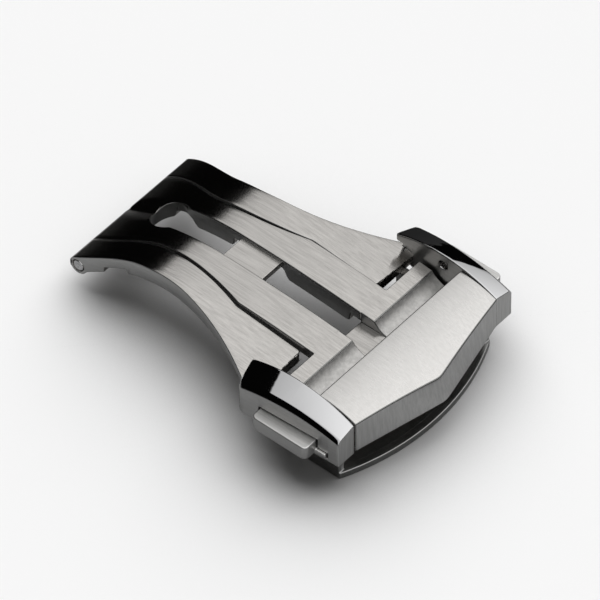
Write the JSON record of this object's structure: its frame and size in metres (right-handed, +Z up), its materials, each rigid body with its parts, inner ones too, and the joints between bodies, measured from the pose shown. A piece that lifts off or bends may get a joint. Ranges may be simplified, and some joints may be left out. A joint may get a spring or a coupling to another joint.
{
  "type": "deployant watch clasp",
  "caption": "Folding watch strap clasp, closed: curved brushed blades on a hinge pin, polished side caps, a pointed cover, side pushers and a strap clamp flap.",
  "frame": {"origin": "middle of the bounding box's bottom face, on the plane that the strap tray stands on", "axes": "+X from the hinge pin towards the pointed end of the cover, +Y across the clasp towards the far pusher, +Z up, away from the wrist"},
  "size_m": [0.0348, 0.0254, 0.0084],
  "materials": {
    "brushed_steel": "brushed along the blades, satin on the cover, mirror polished on the side caps",
    "satin_steel": "fine satin, darker",
    "polished_steel": "polished",
    "spring_steel": "drawn wire"
  },
  "bodies": {
    "base": {"lower_blade": "brushed_steel", "blade_bridge": "brushed_steel", "strap_tray": "satin_steel", "hinge_pin": "polished_steel", "flap_pin": "polished_steel"},
    "cover": {"side_rail_near": "brushed_steel", "side_rail_far": "brushed_steel", "shield_cover": "brushed_steel", "cover_dowels": "polished_steel", "stop_pins": "polished_steel"},
    "flap": {"clamp_flap": "satin_steel", "clamp_bar": "satin_steel"},
    "button_near": {"pusher_near": "brushed_steel", "latch_hook_near": "satin_steel", "hook_rivet_near": "polished_steel", "pusher_spring_near": "spring_steel"},
    "button_far": {"pusher_far": "brushed_steel", "latch_hook_far": "satin_steel", "hook_rivet_far": "polished_steel", "pusher_spring_far": "spring_steel"}
  },
  "joints": [
    {"name": "cover_hinge", "type": "hinge", "parent": "base", "child": "cover", "pos_m": [-0.01655, 0, 0.0028], "axis": [0, -1, 0], "range_deg": [0, 160]},
    {"name": "flap_hinge", "type": "hinge", "parent": "base", "child": "flap", "pos_m": [0.00555, 0, 0.00075], "axis": [0, 1, 0], "range_deg": [0, 80]},
    {"name": "push_near", "type": "slide", "parent": "cover", "child": "button_near", "axis": [0, 1, 0], "range_m": [0, 0.0007], "stiffness_N_per_m": 150, "deforming": ["pusher_spring_near"]},
    {"name": "push_far", "type": "slide", "parent": "cover", "child": "button_far", "axis": [0, -1, 0], "range_m": [0, 0.0007], "stiffness_N_per_m": 150, "deforming": ["pusher_spring_far"]}
  ]
}
